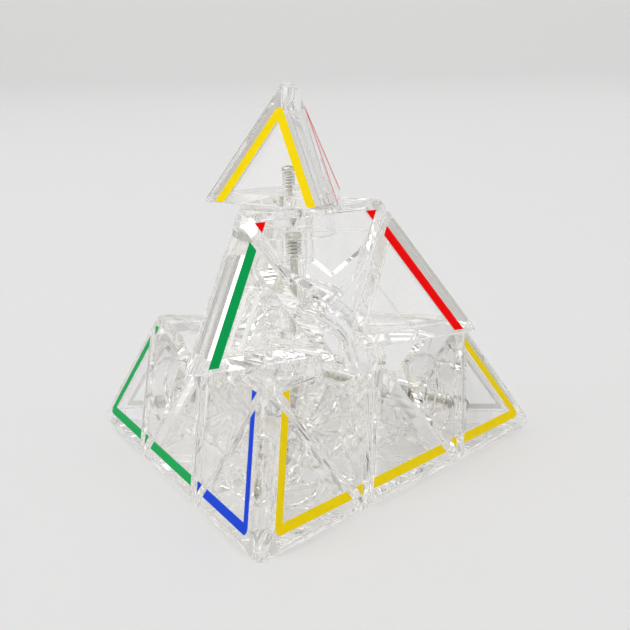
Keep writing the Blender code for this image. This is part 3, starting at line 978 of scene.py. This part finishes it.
def tip_stripe(corner, opposite, colour, turn, body):
    h = FACE_H
    end = 2 * h / 3 + TIP_END
    outer_l, inner_l = D1, D2
    # on the left arm the distance to the left side (the one opposite the right corner) is fixed
    points = [
        s_point(end, h - end - D1, D1),
        s_point(h - 2 * D1, D1, D1),
        s_point(end, D1, h - end - D1),
        s_point(end, D2, h - end - D2),
        s_point(h - 2 * D2, D2, D2),
        s_point(end, h - end - D2, D2),
    ]
    outline = rounded(points, [0, 1.1, 0, 0, 0, 0])
    print_on(f"stripe_{corner}_tip_{opposite}", outline, face_frame(corner, opposite), colour, turn, body)


def axial_stripe(corner, opposite, colour, turn, body):
    h = FACE_H
    si, sl = 2 * h / 3 - AXIAL_END, h / 3 - AXIAL_END
    for side in (0, 1):
        pts = [
            (si, h - si - sl, sl),
            (si, D2, h - D2 - si),
            (h - D2 - sl, D2, sl),
        ]
        pts = [s_point(a, b, c) if side == 0 else s_point(a, c, b) for a, b, c in pts]
        if side:
            pts.reverse()
        print_on(f"stripe_{corner}_axial_{opposite}_{side}", [Vector(p) for p in pts], face_frame(corner, opposite), colour, turn, body)


def edge_stripe(first, second, opposite, colour, turn, body):
    """The bar along the long edge between two corners, on the face opposite a third."""
    h = FACE_H
    face = face_frame(first, opposite)
    left, right = sides_of(first, opposite)
    end = h / 3 + EDGE_END
    # in this frame the bar lies beside the side that joins first and second
    quad = [(end, D1), (h - end - D1, D1), (h - end - D2, D2), (end, D2)]
    pts = []
    for si, near in quad:
        far = h - si - near
        # the side joining first and the left corner is opposite the right corner
        pts.append(s_point(si, far, near) if second == left else s_point(si, near, far))
    print_on(f"stripe_{first}_{second}_edge_{opposite}", [Vector(p) for p in pts], face, colour, turn, body)


ONE = Matrix.Identity(4)
TIP_COLOURS = {
    "top": {"left": "yellow", "front": "red", "right": "blue"},
    "front": {"right": "blue", "left": "yellow", "top": "green"},
    "left": {"right": "green", "front": "blue", "top": "red"},
    "right": {"left": "yellow", "front": "red", "top": "green"},
}
AXIAL_COLOURS = {
    "top": {"right": "yellow", "left": "red", "front": "blue"},
    "front": {"right": "blue", "left": "yellow", "top": "green"},
    "left": {"right": "green", "front": "blue", "top": "red"},
    "right": {"left": "yellow", "front": "red", "top": "green"},
}
EDGE_COLOURS = {
    ("top", "front"): {"right": "blue", "left": "green"},
    ("top", "right"): {"front": "yellow", "left": "red"},
    ("top", "left"): {"right": "blue", "front": "red"},
    ("front", "right"): {"left": "yellow", "top": "blue"},
    ("right", "left"): {"front": "yellow", "top": "green"},
    ("left", "front"): {"right": "green", "top": "red"},
}
for corner in AXES:
    is_top = corner == "top"
    for opposite, colour in TIP_COLOURS[corner].items():
        tip_stripe(corner, opposite, colour, TOP_TIP if is_top else ONE, f"{corner}_tip")
    for opposite, colour in AXIAL_COLOURS[corner].items():
        axial_stripe(corner, opposite, colour, TOP_LAYER if is_top else ONE, "top_layer" if is_top else "base_layer")
for (first, second), colours in EDGE_COLOURS.items():
    is_top = first == "top"
    for opposite, colour in colours.items():
        edge_stripe(first, second, opposite, colour, TOP_LAYER if is_top else ONE, "top_layer" if is_top else "base_layer")

# ================================================================ floor, light and camera
LIGHT = 0.94
ROOM_SHARE = 0.85
ROOM_LOW, ROOM_HIGH = 0.48, 0.72
PATCH_LOW, PATCH_HIGH = 0.12, 1.18
FRONT_FILL = 0.48
WINDOW_LEFT, WINDOW_RIGHT = 1.1, 0.9
OVERHEAD, BACK_STRIP = 9.5, 0.9

for left_over in list(scratch.objects):
    bpy.data.objects.remove(left_over, do_unlink=True)
bpy.context.scene.collection.children.unlink(scratch)


def sweep():
    """A pale studio sweep: floor that curves up into a wall."""
    bm = bmesh.new()
    profile = []
    radius, back, tall = 0.9, 1.3, 3.2
    profile.append((-3.0, 0.0))
    profile.append((back, 0.0))
    for k in range(1, 25):
        a = math.pi / 2 * k / 24
        profile.append((back + radius * math.sin(a), radius * (1 - math.cos(a))))
    profile.append((back + radius, tall))
    rows = [[bm.verts.new((x, y, z)) for x in (-4.0, 4.0)] for y, z in profile]
    for a, b in zip(rows, rows[1:]):
        bm.faces.new((a[0], a[1], b[1], b[0]))
    mesh = bpy.data.meshes.new("studio_sweep")
    bm.to_mesh(mesh)
    bm.free()
    mesh.shade_smooth()
    made = bpy.data.objects.new("studio_sweep", mesh)
    bpy.context.scene.collection.objects.link(made)
    mat, tree, shader = nodes_of("sweep_paper")
    shader.inputs["Base Color"].default_value = (0.78, 0.785, 0.80, 1)
    noise_to(tree, 6, 2, 0.6, 0.7, shader.inputs["Roughness"])
    shader.inputs["Specular IOR Level"].default_value = 0.2
    mesh.materials.append(mat)
    return made


sweep()
world = bpy.data.worlds.new("studio")
bpy.context.scene.world = world
world.use_nodes = True
tree = world.node_tree
background = tree.nodes["Background"]
where = tree.nodes.new("ShaderNodeTexCoord")


def world_math(operation, *values, clamp=False):
    node = tree.nodes.new("ShaderNodeMath")
    node.operation = operation
    node.use_clamp = clamp
    for socket, value in zip(node.inputs, values):
        if hasattr(value, "links"):
            tree.links.new(value, socket)
        else:
            socket.default_value = value
    return node.outputs[0]


def smooth_step(value, low, high, at_low, at_high):
    node = tree.nodes.new("ShaderNodeMapRange")
    node.interpolation_type = "SMOOTHSTEP"
    for socket, amount in zip(("From Min", "From Max", "To Min", "To Max"), (low, high, at_low, at_high)):
        node.inputs[socket].default_value = amount
    tree.links.new(value, node.inputs["Value"])
    return node.outputs["Result"]


def towards(direction):
    node = tree.nodes.new("ShaderNodeVectorMath")
    node.operation = "DOT_PRODUCT"
    tree.links.new(where.outputs["Generated"], node.inputs[0])
    node.inputs[1].default_value = Vector(direction).normalized()
    return node.outputs["Value"]


# a room seen out of focus: paler overhead, uneven round the sides, a soft window to the left
height = towards((0, 0, 1))
room = smooth_step(height, -0.05, 0.75, ROOM_LOW, ROOM_HIGH)
uneven = tree.nodes.new("ShaderNodeTexNoise")
uneven.inputs["Scale"].default_value = 3.2
uneven.inputs["Detail"].default_value = 2.0
tree.links.new(where.outputs["Generated"], uneven.inputs["Vector"])
patches = smooth_step(uneven.outputs["Fac"], 0.36, 0.62, PATCH_LOW, PATCH_HIGH)
room = world_math("MULTIPLY", room, patches)
front = smooth_step(towards((-0.05, -0.95, 0.22)), 0.0, 0.75, 0.0, FRONT_FILL)
window_left = smooth_step(towards((-0.75, -0.35, 0.62)), 0.88, 0.95, 0.0, WINDOW_LEFT)
window_right = smooth_step(towards((0.9, -0.25, 0.45)), 0.93, 0.97, 0.0, WINDOW_RIGHT)
total = world_math("ADD", room, world_math("ADD", front, world_math("ADD", window_left, window_right)))
shade = tree.nodes.new("ShaderNodeCombineColor")
tree.links.new(total, shade.inputs[0])
tree.links.new(world_math("MULTIPLY", total, 0.985), shade.inputs[1])
tree.links.new(world_math("MULTIPLY", total, 0.95), shade.inputs[2])
tree.links.new(shade.outputs[0], background.inputs["Color"])
background.inputs["Strength"].default_value = LIGHT * ROOM_SHARE
# past the end of the sweep the room is an even pale grey
plain = tree.nodes.new("ShaderNodeBackground")
plain.inputs["Color"].default_value = (0.72, 0.72, 0.72, 1)
seen = tree.nodes.new("ShaderNodeLightPath")
either_room = tree.nodes.new("ShaderNodeMixShader")
tree.links.new(seen.outputs["Is Camera Ray"], either_room.inputs[0])
tree.links.new(background.outputs[0], either_room.inputs[1])
tree.links.new(plain.outputs[0], either_room.inputs[2])
tree.links.new(either_room.outputs[0], tree.nodes["World Output"].inputs["Surface"])


def lamp(name, at, target, size, power, colour=(1, 1, 1)):
    light = bpy.data.lights.new(name, "AREA")
    light.shape = "RECTANGLE"
    light.size, light.size_y = size
    light.energy = power * LIGHT
    light.color = colour
    made = bpy.data.objects.new(name, light)
    bpy.context.scene.collection.objects.link(made)
    made.location = at
    made.rotation_euler = (Vector(target) - Vector(at)).to_track_quat("-Z", "Y").to_euler()
    return made


lamp("overhead_soft", (-0.35, -0.1, 1.5), (0, 0.1, 0), (1.3, 1.3), OVERHEAD)
lamp("back_strip", (0.1, 1.1, 0.75), (0, 0, 0.03), (1.2, 0.4), BACK_STRIP)

camera_data = bpy.data.cameras.new("camera")
camera_data.sensor_width = 36.0
camera_data.lens = 82.666
camera_data.clip_start = 0.01
camera = bpy.data.objects.new("camera", camera_data)
bpy.context.scene.collection.objects.link(camera)
camera.location = (
    AXIS_AT.x + 39.525 * MM,
    AXIS_AT.y - 291.316 * MM,
    99.086 * MM,
)
camera.rotation_euler = tuple(math.radians(a) for a in (77.23198, 1.44006, 6.56439))
bpy.context.scene.camera = camera

cycles = bpy.context.scene.cycles
cycles.max_bounces = 40
cycles.transmission_bounces = 40
cycles.glossy_bounces = 40
cycles.diffuse_bounces = 3
cycles.transparent_max_bounces = 80
cycles.sample_clamp_indirect = 6.0
cycles.blur_glossy = 0.3
bpy.context.scene.view_settings.view_transform = "Standard"
bpy.context.scene.view_settings.look = "None"
